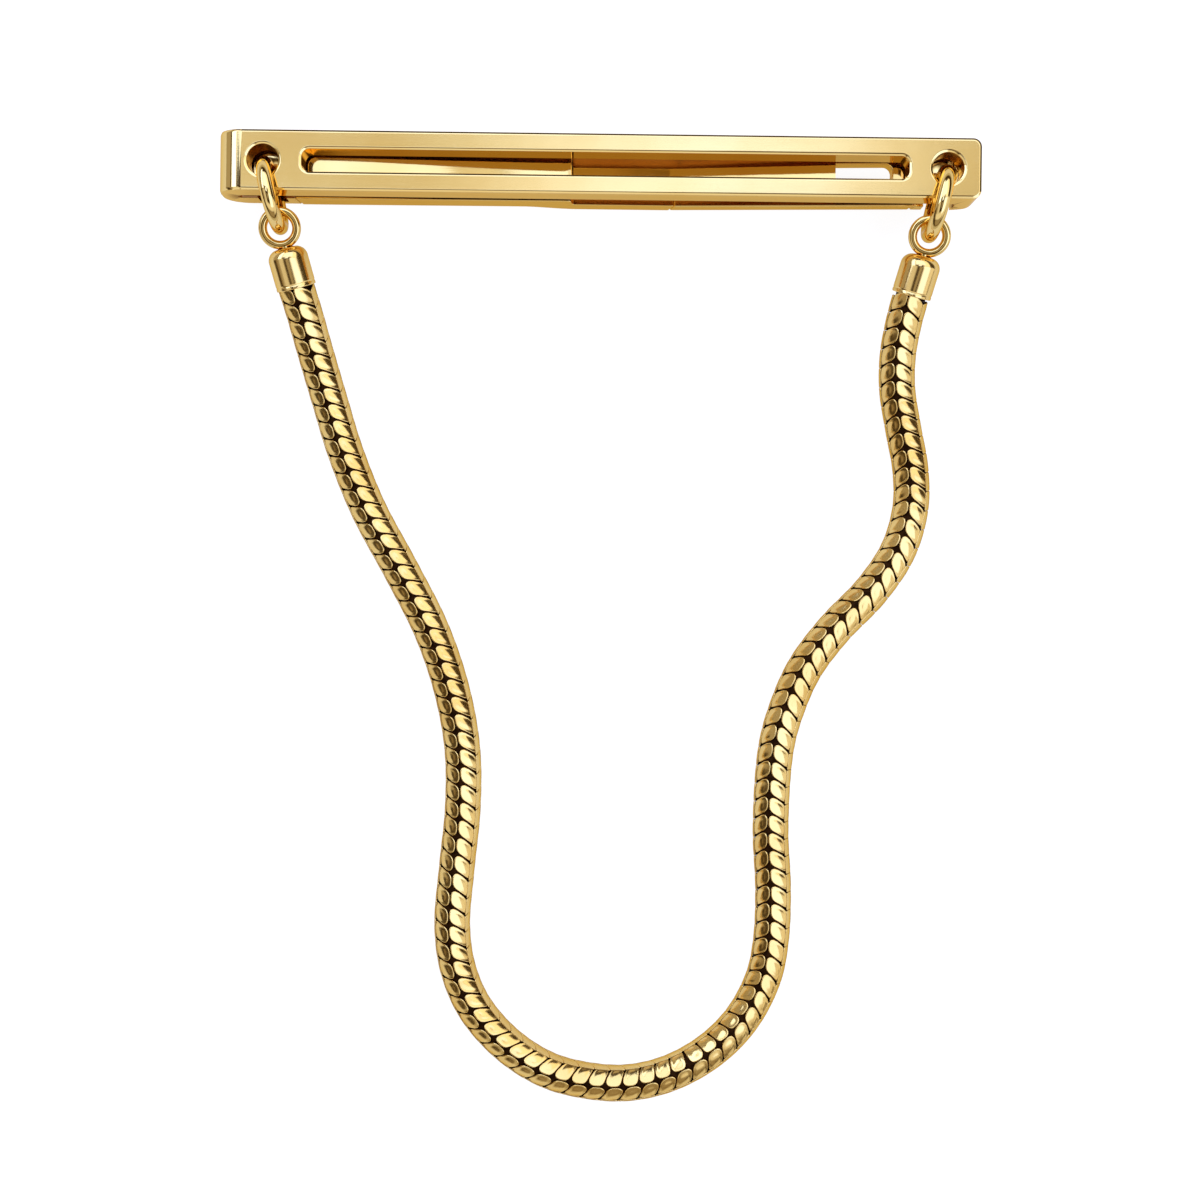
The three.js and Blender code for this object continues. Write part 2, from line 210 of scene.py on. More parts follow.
# the bar's gold is painted darker as shade in its holes and slit, and the scales' gold is painted darker as
# shade at their roots
polishedGold = goldMaterial("polishedGold", "recessShade")
capGold = goldMaterial("capGold")
springGold = goldMaterial("springGold")
wireGold = goldMaterial("wireGold")
scaleGold = goldMaterial("scaleGold", "gapShade")
paintedGapShade = gapShadeMaterial(gapShadeLook)
print("finishes made")


def addPiece(name, mesh, materials, body, node):
    for material in materials:
        mesh.materials.append(material)
    piece = bpy.data.objects.new(name, mesh)
    scene.collection.objects.link(piece)
    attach(piece, body)
    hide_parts(node)
    return piece


def meshFrom(name, points, faces):
    mesh = bpy.data.meshes.new(name)
    mesh.from_pydata([Vector(p) * mm for p in points], [], faces)
    mesh.validate()
    bm = bmesh.new()
    bm.from_mesh(mesh)
    bmesh.ops.recalc_face_normals(bm, faces=bm.faces)
    bm.to_mesh(mesh)
    bm.free()
    mesh.shade_smooth()
    return mesh


# snake chain: columns of slanted scales round a core painted near-black as the shade between them, laid along
# the route
chainSetup = {
    "radius": 1.425, "coreRadius": 1.15, "pitch": 1.36, "wide": 73.0, "narrow": 17.0, "fillAcross": 0.965,
    "fillAlong": (0.925, 0.985), "roundness": ((2.9, 3.4), (8.0, 8.0)), "shoulder": (0.2, 0.0), "around": 18,
    "intoCap": 0.7, "seamTurn": (-8.0, 14.0), "turnOver": (58.0, 92.0), "innerSlant": (0.52, -0.35),
    "outerSlant": (0.28, 0.46), "crownAlong": 0.045, "flatness": 0.42, "underlap": 14.0, "sideDrop": 0.035,
    "curl": 0.16, "root": 0.45, "coreSides": 14, "coreSteps": 2, "lineSteps": 12, "pathSteps": 160,
    "frameDigits": 2,
    # rings of a scale from its root up: share of the outline, how far under the top, and how much painted
    # shade darkens it
    "rings": ((0.94, 0.34, 1.0), (1.0, 0.15, 0.8), (0.985, 0.06, 0.05), (0.935, 0.022, 0.0),
              (0.87, 0.047, 0.0), (0.5, 0.012, 0.0)),
}
chainRoute = [
    (-23.311, -9.616, 3.390), (-22.85, -11.2, 2.9), (-22.3, -13.3, 2.25), (-21.65, -15.6, 1.8),
    (-21.0, -17.8, 1.5), (-19.9, -21.3), (-18.0, -25.9), (-15.4, -30.6), (-13.0, -35.2), (-11.4, -39.7),
    (-10.5, -44.3), (-10.4, -48.9), (-10.8, -53.5), (-11.1, -58.1), (-10.6, -61.4), (-9.25, -64.4),
    (-6.7, -67.2), (-3.6, -69.1), (-0.4, -69.9), (2.7, -70.0), (5.9, -69.2), (9.0, -67.4),
    (11.4, -64.9), (13.0, -61.7), (13.55, -58.7), (13.65, -54.8), (13.4, -50.2), (13.75, -44.0),
    (14.55, -40.9), (15.9, -37.8), (18.1, -34.8), (21.0, -31.7), (23.0, -28.6), (23.9, -25.3),
    (23.85, -22.3), (23.25, -19.2, 1.5), (22.7, -16.2, 1.8), (22.65, -13.6, 2.25), (22.95, -11.3, 2.9),
    (23.311, -9.616, 3.390),
]


def smoothLine(points, perSpan):
    # centripetal curve through the points, with its ends carried straight on
    line = []
    for i in range(len(points) - 1):
        b, c = points[i], points[i + 1]
        a = points[i - 1] if i else b * 2 - c
        d = points[i + 2] if i + 2 < len(points) else c * 2 - b
        ab, bc, cd = ((b - a).length ** 0.5, (c - b).length ** 0.5, (d - c).length ** 0.5)
        inward = ((b - a) / ab - (c - a) / (ab + bc) + (c - b) / bc) * bc
        outward = ((c - b) / bc - (d - b) / (bc + cd) + (d - c) / cd) * bc
        for j in range(perSpan):
            t = j / perSpan
            line.append(b + inward * t + (c * 3 - b * 3 - inward * 2 - outward) * t ** 2
                        + (b * 2 - c * 2 + inward + outward) * t ** 3)
    line.append(points[-1])
    return line


class Runner:
    # places and directions at a length along a line
    def __init__(self, line):
        self.line = line
        self.lengths = [0.0]
        for a, b in zip(line, line[1:]):
            self.lengths.append(self.lengths[-1] + (b - a).length)
        self.total = self.lengths[-1]

    def at(self, s):
        s = min(max(s, 0.0), self.total)
        low, high = 0, len(self.lengths) - 2
        while low < high:
            middle = (low + high + 1) // 2
            if self.lengths[middle] <= s:
                low = middle
            else:
                high = middle - 1
        a, b = self.line[low], self.line[low + 1]
        return a.lerp(b, (s - self.lengths[low]) / (self.lengths[low + 1] - self.lengths[low]))

    def directions(self, s, reach=0.6):
        forward = (self.at(s + reach) - self.at(s - reach)).normalized()
        left = Vector((0, 0, 1)).cross(forward).normalized()
        return forward, left, forward.cross(left)


def easeBetween(value, low, high):
    t = min(max((value - low) / (high - low), 0.0), 1.0)
    return t * t * (3 - 2 * t)


def scaleOutline(count, roundness, shoulder):
    # across from the tight seam (-1) to the open seam (1), and along from -1 to 1
    # the corners are square at the tight seam and round at the open one
    outline = []
    for i in range(count):
        angle = 2 * math.pi * (i + 0.5) / count
        c, s = math.cos(angle), math.sin(angle)
        power = 2 / roundness[0] if c > 0 else 2 / roundness[1]
        reach = (1 - shoulder) if c > 0 else (1 + shoulder)
        across = shoulder + math.copysign(reach * abs(c) ** power, c)
        outline.append((across, math.copysign(abs(s) ** power, s)))
    return outline


def chainColumns(setup, middle):
    # columns at a length along the chain, from tight seam to open seam: (angle, shift along) twice, and then
    # 1 for a side column, which lies a little lower and reaches in under the edges of the wide ones
    turned = easeBetween(middle, *setup["turnOver"])
    seam, inner, outer = (a + (b - a) * turned for a, b in
                          (setup["seamTurn"], setup["innerSlant"], setup["outerSlant"]))
    wide, narrow = setup["wide"], setup["narrow"]
    columns = []
    for half in (0.0, 180.0):
        opened, side, under = seam + half, (inner - outer) / 2, setup["underlap"]
        columns += [((opened - wide, -outer), (opened, 0.0), 0), ((opened + wide, inner), (opened, 0.0), 0),
                    ((opened + wide - under, inner), (opened + wide + narrow, side), 1),
                    ((opened + 180 - wide + under, -outer), (opened + wide + narrow, side), 1)]
    return columns


def buildChain(setup):
    radius = setup["radius"]
    points = [Vector((*p, radius)) if len(p) == 2 else Vector(p) for p in chainRoute]
    line = smoothLine(points, setup["lineSteps"])
    startWay = (line[0] - line[1]).normalized() * setup["intoCap"]
    endWay = (line[-1] - line[-2]).normalized() * setup["intoCap"]
    runner = Runner([line[0] + startWay, *line, line[-1] + endWay])
    rows = round(runner.total / setup["pitch"])
    pitch = runner.total / rows
    rings, count = setup["rings"], setup["around"]
    outlines = [scaleOutline(count, *form) for form in zip(setup["roundness"], setup["shoulder"])]
    verts, faces, gapShade = [], [], []
    frames = {}

    def onChain(s, angle, r):
        key = round(s, setup["frameDigits"])
        if key not in frames:
            frames[key] = (runner.at(key), *runner.directions(key))
        place, forward, left, up = frames[key]
        return place + (up * math.cos(angle) + left * math.sin(angle)) * r

    for row in range(rows):
        middle = (row + 0.5) * pitch
        for (tightTurn, tightShift), (openTurn, openShift), side in chainColumns(setup, middle):
            centre = math.radians((tightTurn + openTurn) / 2)
            halfTurn = math.radians((openTurn - tightTurn) / 2)
            lean = (openShift - tightShift) / 2 * pitch
            own = middle + (openShift + tightShift) / 2 * pitch
            sideDrop = setup["sideDrop"] * side
            hollow = 0 if side else setup["flatness"] * radius * (1 - math.cos(halfTurn))
            crown = 0 if side else setup["crownAlong"]
            curl = 0 if side else math.copysign(setup["curl"], tightShift - openShift) * pitch
            first = len(verts)
            # the lower rings are painted dark as the shade down in the gaps between scales
            for share, sink, rootShade in rings:
                for across, along in outlines[side]:
                    x, y = across * share, along * share
                    s = own + lean * x + curl * (x * x - x - 1) / 2 + y * pitch / 2 * setup["fillAlong"][side]
                    lower = sink * (1 - side / 2) + sideDrop + crown * y * y + hollow * (1 - x * x)
                    verts.append(onChain(s, centre + halfTurn * x * setup["fillAcross"], radius - lower))
                    gapShade.append(rootShade)
            own -= curl / 2
            verts.append(onChain(own, centre, radius - hollow - sideDrop))
            gapShade.append(0.0)
            verts.append(onChain(own, centre, radius - setup["root"]))
            gapShade.append(1.0)
            for ring in range(len(rings) - 1):
                for i in range(count):
                    a, b = first + ring * count + i, first + ring * count + (i + 1) % count
                    faces.append((a, b, b + count, a + count))
            top, bottom = len(verts) - 2, len(verts) - 1
            last = first + (len(rings) - 1) * count
            for i in range(count):
                faces.append((last + i, last + (i + 1) % count, top))
                faces.append((first + (i + 1) % count, first + i, bottom))
    slots = [0] * len(faces)

    # core tube, painted near-black as the shade deep in the gaps between the scales
    sides, coreRows = setup["coreSides"], rows * setup["coreSteps"]
    first = len(verts)
    for i in range(coreRows + 1):
        s = runner.total * i / coreRows
        for j in range(sides):
            verts.append(onChain(s, 2 * math.pi * j / sides, setup["coreRadius"]))
            gapShade.append(1.0)
    for i in range(coreRows):
        for j in range(sides):
            a, b = first + i * sides + j, first + i * sides + (j + 1) % sides
            faces.append((a, b, b + sides, a + sides))
    faces.append(tuple(first + j for j in range(sides)))
    faces.append(tuple(first + coreRows * sides + j for j in reversed(range(sides))))
    slots += [1] * (len(faces) - len(slots))

    mesh = meshFrom("scaleChain", verts, faces)
    mesh.polygons.foreach_set("material_index", slots)
    layer = mesh.attributes.new("gapShade", "FLOAT", "POINT")
    layer.data.foreach_set("value", gapShade)
    piece = addPiece("scaleChain", mesh, [scaleGold, paintedGapShade], "chain", "snake_chain")
    steps = setup["pathSteps"]
    stations = [runner.at(runner.total * i / steps) * mm for i in range(steps + 1)]
    return piece, stations, runner.total


scaleChain, chainPath, chainLength = buildChain(chainSetup)
print("chain of", round(chainLength, 1), "mm,", len(scaleChain.data.polygons), "faces")


# flat metal: outlines carried across, cut through and rounded
def arc(centre, radius, start, end, steps):
    turns = [math.radians(start + (end - start) * i / steps) for i in range(steps + 1)]
    return [(centre[0] + radius * math.cos(t), centre[1] + radius * math.sin(t)) for t in turns]


def circle(centre, radius, count=48):
    return arc(centre, radius, 0, 360 - 360 / count, count - 1)


def roundedOutline(left, right, bottom, top, radius, steps=8):
    return (arc((right - radius, bottom + radius), radius, -90, 0, steps)
            + arc((right - radius, top - radius), radius, 0, 90, steps)
            + arc((left + radius, top - radius), radius, 90, 180, steps)
            + arc((left + radius, bottom + radius), radius, 180, 270, steps))


def grown(outline, distance):
    # a counter-clockwise outline with every side moved outwards
    moved = []
    count = len(outline)
    for i, point in enumerate(outline):
        here, before, after = Vector(point), Vector(outline[i - 1]), Vector(outline[(i + 1) % count])
        a, b = (here - before).normalized(), (after - here).normalized()
        a, b = Vector((a.y, -a.x)), Vector((b.y, -b.x))
        moved.append(tuple(here + (a + b) * distance / (1 + a.dot(b))))
    return moved


def rimSteps(steps):
    # (inset, depth) from the side of an edge up to its face, over steps of (tilt, width) from the face down
    pairs = [(0.0, 0.0)]
    for tilt, width in steps:
        (inset, depth), turn = pairs[-1], math.radians(tilt)
        pairs.append((inset - width * math.cos(turn), depth + width * math.sin(turn)))
    return [(inset - pairs[-1][0], depth) for inset, depth in reversed(pairs)]


def loft(name, loops, flat):
    # outlines of the same count at their own heights, across the bar (flat "xz") or upwards (flat "xy")
    points = [(u, h, v) if flat == "xz" else (u, v, h) for h, outline in loops for u, v in outline]
    count, last = len(loops[0][1]), len(loops) - 1
    faces = [tuple(range(count)), tuple(last * count + i for i in reversed(range(count)))]
    for level in range(last):
        for i in range(count):
            a, b = level * count + i, level * count + (i + 1) % count
            faces.append((a, b, b + count, a + count))
    return meshFrom(name, points, faces)


edgeSetup = {"flatWithin": 1.0, "leastShare": 0.2, "sharpFrom": 16.0, "segments": 3, "mergeWithin": 1e-7,
             "stripSteps": 4}


def flatNormals(mesh):
    # flats keep one normal right up to their rounded edges, and the edges turn between them
    bm = bmesh.new()
    bm.from_mesh(mesh)
    region, areas = {}, []
    for face in bm.faces:
        if face in region:
            continue
        waiting, total = [face], 0.0
        region[face] = len(areas)
        while waiting:
            here = waiting.pop()
            total += here.calc_area()
            for near in (f for e in here.edges for f in e.link_faces if f not in region):
                if near.normal.angle(here.normal, 0.0) < math.radians(edgeSetup["flatWithin"]):
                    region[near] = len(areas)
                    waiting.append(near)
        areas.append(total)
    normals = []
    for vert in bm.verts:
        total = Vector()
        largest = max(areas[region[face]] for face in vert.link_faces)
        for loop in vert.link_loops:
            if areas[region[loop.face]] > largest * edgeSetup["leastShare"]:
                total += loop.face.normal * loop.calc_angle()
        normals.append(total.normalized() if total.length else vert.normal.copy())
    bm.free()
    mesh.shade_smooth()
    mesh.normals_split_custom_set_from_vertices(normals)


def carve(name, blank, cutters, rounding):
    # cuts the blank and rounds its sharp edges
    work = bpy.data.objects.new(name, blank)
    scene.collection.objects.link(work)
    helpers = []
    for i, (mesh, operation) in enumerate(cutters):
        helper = bpy.data.objects.new(name + "Cutter" + str(i), mesh)
        scene.collection.objects.link(helper)
        helpers.append(helper)
        cut = work.modifiers.new("cut", "BOOLEAN")
        cut.operation = operation
        cut.solver = "EXACT"
        cut.object = helper
    if rounding:
        work.modifiers.new("split", "TRIANGULATE")
        edges = work.modifiers.new("edges", "BEVEL")
        edges.width = rounding * mm
        edges.segments = edgeSetup["segments"]
        edges.limit_method = "ANGLE"
        edges.angle_limit = math.radians(edgeSetup["sharpFrom"])
        edges.use_clamp_overlap = False
        edges.miter_outer = "MITER_ARC"
    bpy.context.view_layer.update()
    shaped = bpy.data.meshes.new_from_object(work.evaluated_get(bpy.context.evaluated_depsgraph_get()))
    shaped.name = name
    bm = bmesh.new()
    bm.from_mesh(shaped)
    bmesh.ops.dissolve_degenerate(bm, dist=edgeSetup["mergeWithin"], edges=bm.edges)
    bm.to_mesh(shaped)
    bm.free()
    for helper in [work, *helpers]:
        bpy.data.objects.remove(helper)
    shaped.materials.clear()
    flatNormals(shaped)
    return shaped


# front bar: slotted plate, rounded fold at the left, solid right end, two holes bored through and the ring
# notches
barSetup = {
    "plate": 2.2, "foldFront": 1.95, "foldRear": 1.9, "foldWall": 1.3, "endRear": 1.9, "endWall": 1.6,
    "leftSlit": 0.7, "rightSlit": 0.8, "leftReturn": (0.7, 2.8), "rightReturn": (1.35, 2.7),
    "returnEnd": 23.59, "slot": (22.83, 0.86, 0.6), "hole": (25.75, 1.2), "notch": (25.49, 1.1),
    "notchTop": (0.22, 0.14), "notchFloor": 1.3, "notchOver": 0.35, "cornerRadius": 0.65, "rounding": 0.04,
    "endSlant": 0.12, "drillMark": (1.3, 0.35, 0.02), "foldSteps": 14, "slitSteps": 8, "sideRoom": 0.002,
    "overcut": {"below": 0.3, "above": 0.01, "mark": 0.1, "past": 10.0, "deep": -9.0},
    # where painted shade darkens the gold: down the holes' walls and through the slit inside the bar
    "paintedShade": {"wall": 0.02, "below": 0.1, "rimShare": 0.95, "slitLow": 0.01, "slitHigh": 0.005,
               "slitEnd": 0.05},
    "rim": ((5, 0.024), (11, 0.024), (17, 0.024), (23, 0.024), (28, 0.12), (42, 0.012), (56, 0.012),
            (70, 0.012), (82, 0.012)),
}


def buildBar(setup):
    low, high = (Vector(corner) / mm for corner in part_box("front_bar"))
    left, right, half, front = low.x, high.x, high.y, high.z
    under = front - setup["plate"]
    leftLow, leftTop = setup["leftReturn"]
    rightLow, rightTop = setup["rightReturn"]
    leftSlit, rightSlit = setup["leftSlit"] / 2, setup["rightSlit"] / 2
    foldFront, foldRear, endRear = setup["foldFront"], setup["foldRear"], setup["endRear"]
    outline = [(right, front)]
    foldSteps, slitSteps = setup["foldSteps"], setup["slitSteps"]
    outline += arc((left + foldFront, front - foldFront), foldFront, 90, 180, foldSteps)
    outline += arc((left + foldRear, leftLow + foldRear), foldRear, 180, 270, foldSteps)
    returnEnd, slant = setup["returnEnd"], setup["endSlant"]
    outline += [(slant - returnEnd, leftLow), (-slant - returnEnd, leftTop)]
    outline += arc((left + setup["foldWall"] + leftSlit, leftTop + leftSlit), leftSlit, 270, 90, slitSteps)
    outline += arc((right - setup["endWall"] - rightSlit, under - rightSlit), rightSlit, 90, -90, slitSteps)
    outline += [(returnEnd + slant, rightTop), (returnEnd - slant, rightLow)]
    outline += arc((right - endRear, rightLow + endRear), endRear, -90, 0, foldSteps)
    rim = rimSteps(setup["rim"])
    nearRim = [(inset - half, grown(outline, -depth)) for inset, depth in rim]
    blank = loft("polishedBar", nearRim + [(-y, loop) for y, loop in reversed(nearRim)], "xz")
    overcut, across, deep = setup["overcut"], rim[-1][0], rim[0][1]
    overFace = across + overcut["above"] / math.tan(math.radians(setup["rim"][0][0]))

    def upright(name, shape, bottom, way):
        # a cutter that rounds the front face's edge, outwards (way 1) or inwards (way -1)
        levels = [(front - depth, grown(shape, way * inset)) for inset, depth in rim[:-1]]
        above = (front + overcut["above"], grown(shape, way * overFace))
        return loft(name, [(bottom, shape), *levels, above], "xy")

    inside = half - setup["sideRoom"]
    envelope = roundedOutline(left - overcut["past"], right, -inside, inside, setup["cornerRadius"])
    slotEnd, slotHalf, slotRadius = setup["slot"]
    slot = roundedOutline(-slotEnd, slotEnd, -slotHalf, slotHalf, slotRadius)
    cutBottom = under - overcut["below"]
    cutters = [(upright("barEnvelope", envelope, overcut["deep"], -1), "INTERSECT"),
               (upright("barSlot", slot, cutBottom, 1), "DIFFERENCE")]
    holeX, holeRadius = setup["hole"]
    notchX, notchHalf = setup["notch"]
    markRadius, markDepth, markTip = setup["drillMark"]
    for side, top, notchTop in ((-1, leftTop, setup["notchTop"][0]), (1, rightTop, setup["notchTop"][1])):
        centre = (side * holeX, 0)
        notchLeft, notchRight = side * notchX - notchHalf, side * notchX + notchHalf
        notch = [(notchLeft, overcut["deep"]), (notchRight, overcut["deep"]),
                 (notchRight, notchTop), (notchLeft, notchTop)]
        notchLevels = [(setup["notchFloor"], notch), (top + setup["notchOver"], notch)]
        mark = [(top - markDepth, circle(centre, markTip)), (top, circle(centre, markRadius)),
                (top + overcut["mark"], circle(centre, markRadius))]
        cutters += [(loft("drillMark", mark, "xy"), "DIFFERENCE"),
                    (upright("barHole", circle(centre, holeRadius), cutBottom, 1), "DIFFERENCE"),
                    (loft("barNotch", notchLevels, "xy"), "DIFFERENCE")]
    mesh = carve("polishedBar", blank, cutters, setup["rounding"])
    # mark the recesses that get painted shade: the holes' walls below the rim, and the slit between the plate
    # and the returns
    layer, zone = mesh.attributes.new("recessShade", "FLOAT", "POINT"), setup["paintedShade"]
    for vert, value in zip(mesh.vertices, layer.data):
        x, y, z = vert.co / mm
        away, inPlate = math.hypot(abs(x) - holeX, y), z > under - zone["below"]
        inHole = away < holeRadius + zone["wall"] and inPlate and z < front - deep * zone["rimShare"]
        inSlit = rightTop - zone["slitLow"] < z < under + zone["slitHigh"]
        inSlit = inSlit and x < right - setup["endWall"] + zone["slitEnd"]
        inSlit = inSlit and (away > markRadius + zone["wall"] or inPlate)
        value.value = 1.0 if inHole or inSlit else 0.0
    return addPiece("polishedBar", mesh, [polishedGold], "bar", "front_bar")


polishedBar = buildBar(barSetup)
print("bar cut,", len(polishedBar.data.polygons), "faces")


# springy strips: a rounded section carried along the bar, with its own heights and cant at each station
def strip(name, stations, half, corner):
    # a station is (x, bottom, top, cant, lean): cant lifts the far edge, lean carries the top edge along
    count = len(stations)
    points, ring = [], 0
    for x, bottom, top, cant, lean in stations:
        outline = roundedOutline(-half, half, bottom, top, corner, edgeSetup["stripSteps"])
        ring = len(outline)
        points += [(x + lean * (z - bottom), y, z + cant * y) for y, z in outline]
    faces = [tuple(range(ring)), tuple((count - 1) * ring + j for j in reversed(range(ring)))]
    for i in range(count - 1):
        for j in range(ring):
            a, b = i * ring + j, i * ring + (j + 1) % ring
            faces.append((a, b, b + ring, a + ring))
    mesh = meshFrom(name, points, faces)
    flatNormals(mesh)
    return mesh


leafSetup = {
    "half": 2.27, "corner": 0.06, "rootX": -23.42, "stepStart": -6.4, "stepEnd": -2.6,
    "shoulder": (-2.62, -2.5), "tipX": 4.9, "upper": (0.7, 2.8), "lower": (0.0, 1.6), "cant": (0.075, -0.03),
    "lean": (-0.114, 0.25), "levelRun": 0.5, "leanRun": 2.0, "steps": 240,
}


def buildSpringLeaf(setup):
    stations = []
    rootX, tipX, steps, leanRun = setup["rootX"], setup["tipX"], setup["steps"], setup["leanRun"]
    (upperLow, upperTop), (lowerLow, lowerTop) = setup["upper"], setup["lower"]
    (rootCant, stepCant), (rootLean, tipLean) = setup["cant"], setup["lean"]
    shoulderStart, shoulderEnd = setup["shoulder"]
    for i in range(steps + 1):
        x = rootX + (tipX - rootX) * i / steps
        drop = easeBetween(x, setup["stepStart"], setup["stepEnd"])
        inside = easeBetween(x, shoulderStart, shoulderEnd)
        bottom = upperLow + (lowerLow - upperLow) * drop
        top = upperTop + (lowerTop - upperTop) * inside
        level = easeBetween(x, shoulderStart - setup["levelRun"], shoulderEnd)
        turned = easeBetween(x, rootX, shoulderStart)
        cant = (rootCant + (stepCant - rootCant) * turned) * (1 - level)
        lean = (rootLean * (1 - easeBetween(x, rootX, rootX + leanRun))
                + tipLean * easeBetween(x, tipX - leanRun, tipX))
        stations.append((x, bottom, top, cant, lean))
    mesh = strip("springLeafStrip", stations, setup["half"], setup["corner"])
    return addPiece("springLeafStrip", mesh, [springGold], "spring_leaf", "spring_leaf")


tongueSetup = {"half": 1.6, "corner": 0.12, "seatX": -2.46, "bendX": 5.0, "tipX": 17.6, "seat": 1.65,
               "tip": 2.51, "thickness": 0.5, "cant": -0.03, "steps": 60}


def buildTongue(setup):
    stations = []
    for i in range(setup["steps"] + 1):
        x = setup["seatX"] + (setup["tipX"] - setup["seatX"]) * i / setup["steps"]
        rise = max(0.0, (x - setup["bendX"]) / (setup["tipX"] - setup["bendX"]))
        bottom = setup["seat"] + (setup["tip"] - setup["seat"]) * rise
        stations.append((x, bottom, bottom + setup["thickness"], setup["cant"], 0.0))
    mesh = strip("tongueStrip", stations, setup["half"], setup["corner"])
    return addPiece("tongueStrip", mesh, [springGold], "spring_leaf", "tongue_plate")


outerSetup = {"half": 2.27, "bevel": 0.12, "tip": (5.2, 0.0, 1.35), "root": (23.53, 1.35, 2.7),
              "tipSlant": 0.17, "rootSlant": 0.12, "window": (8.05, 21.99, 0.95, 0.6), "cut": (-4.0, 9.0)}


def buildOuterLeaf(setup):
    (tipX, tipLow, tipTop), (rootX, rootLow, rootTop) = setup["tip"], setup["root"]
    left, right, halfWindow, radius = setup["window"]
    tipSlant, rootSlant = setup["tipSlant"], setup["rootSlant"]
    outline = [(tipX - tipSlant, tipLow), (rootX - rootSlant, rootLow), (rootX + rootSlant, rootTop),
               (tipX + tipSlant, tipTop)]
    opening = roundedOutline(left, right, -halfWindow, halfWindow, radius)
    window = loft("leafWindow", [(height, opening) for height in setup["cut"]], "xy")
    blank = loft("windowLeaf", [(-setup["half"], outline), (setup["half"], outline)], "xz")
    mesh = carve("windowLeaf", blank, [(window, "DIFFERENCE")], setup["bevel"])
    return addPiece("windowLeaf", mesh, [springGold], "outer_leaf", "outer_leaf")


buildSpringLeaf(leafSetup)
buildTongue(tongueSetup)
buildOuterLeaf(outerSetup)
print("leaves and tongue made")


# wire work: jump rings with a butt seam, eyes on a shank, and domed caps
def sweptRing(setup):
    # a ring round the local Z axis, with a fine groove where the wire's ends meet
    points, faces = [], []
    radius, wire, around, sides, seam = (setup[key] for key in ("radius", "wire", "around", "sides", "seam"))
    turns = [360 * i / around for i in range(around)]
    if seam:
        turns = [t for t in turns if abs(t - seam["at"]) > seam["clear"]]
        turns = sorted(turns + [seam["at"] + d for d in seam["turns"]])
    for turn in turns:
        groove = seam["depth"] if seam and turn == seam["at"] else 0.0
        t = math.radians(turn)
        for j in range(sides):
            a = 2 * math.pi * j / sides
            reach = radius + (wire - groove) * math.cos(a)
            points.append((reach * math.cos(t), reach * math.sin(t), (wire - groove) * math.sin(a)))
    count = len(turns)
    for i in range(count):
        for j in range(sides):
            k = (j + 1) % sides
            m = (i + 1) % count
            faces.append((i * sides + j, m * sides + j, m * sides + k, i * sides + k))
    return points, faces


def lathe(profile, around):
    # a profile of (radius, along) turned round the local Y axis, with both its ends on the axis
    points, faces = [(0, profile[0][1], 0)], []
    inner = profile[1:-1]
    for r, y in inner:
        for j in range(around):
            a = 2 * math.pi * j / around
            points.append((r * math.cos(a), y, r * math.sin(a)))
    points.append((0, profile[-1][1], 0))
    last = len(points) - 1
    for j in range(around):
        k = (j + 1) % around
        faces.append((0, 1 + j, 1 + k))
        for i in range(len(inner) - 1):
            a = 1 + i * around
            faces.append((a + j, a + around + j, a + around + k, a + k))
        a = 1 + (len(inner) - 1) * around
        faces.append((a + j, last, a + k))
    return points, faces


ringSetup = {"radius": 2.44, "wire": 0.56, "lean": 13.5, "place": (25.155, -2.480, 4.6),
             "around": 96, "sides": 24,
             "seam": {"at": 62.0, "depth": 0.05, "clear": 3.0, "turns": (-1.2, -0.7, 0.0, 0.7, 1.2)}}
eyeSetup = {"radius": 1.27, "wire": 0.33, "shank": 1.2, "place": (24.566, -4.930, 4.6), "lean": 15.0,
            "pitch": 14.0, "around": 72, "sides": 20, "seam": None, "shankShare": 0.94, "shankStart": 0.03,
            "shankBevel": 0.08, "shankSides": 17}
capSetup = {"radius": 1.51, "length": 3.1, "start": 1.5, "bore": 0.5, "boreRoom": 0.15, "boreBevel": 0.03,
            "shoulder": 0.85, "crown": 0.03, "domeFrom": 85, "domeSteps": 16, "lip": 0.12, "lipSteps": 6,
            # inset of the groove over the lip, and lips from the end
            "groove": ((0.0, 3.4), (0.0, 3.0), (0.03, 2.6), (0.03, 2.2), (0.0, 1.9)),
            "mouth": 1.455, "mouthStep": (0.01, 0.03), "recess": 0.75, "around": 64}


def dropPlace(side):
    # the eye's own frame: its loop lies in XY and its shank along -Y
    x, y, z = eyeSetup["place"]
    turn = Matrix.Rotation(math.radians(-side * eyeSetup["lean"]), 4, "Z")
    dip = Matrix.Rotation(math.radians(eyeSetup["pitch"]), 4, "X")
    return Matrix.Translation((side * x, y, z)) @ turn @ dip


def buildRing(side, name):
    points, faces = sweptRing(ringSetup)
    x, y, z = ringSetup["place"]
    turn = Matrix.Rotation(math.radians(-side * ringSetup["lean"]), 4, "Z")
    place = Matrix.Translation((side * x, y, z)) @ turn @ Matrix.Rotation(math.pi / 2, 4, "Y")
    mesh = meshFrom(name + "Ring", [place @ Vector(p) for p in points], faces)
    return addPiece(name + "Ring", mesh, [wireGold], name + "_ring", name + "_jump_ring")


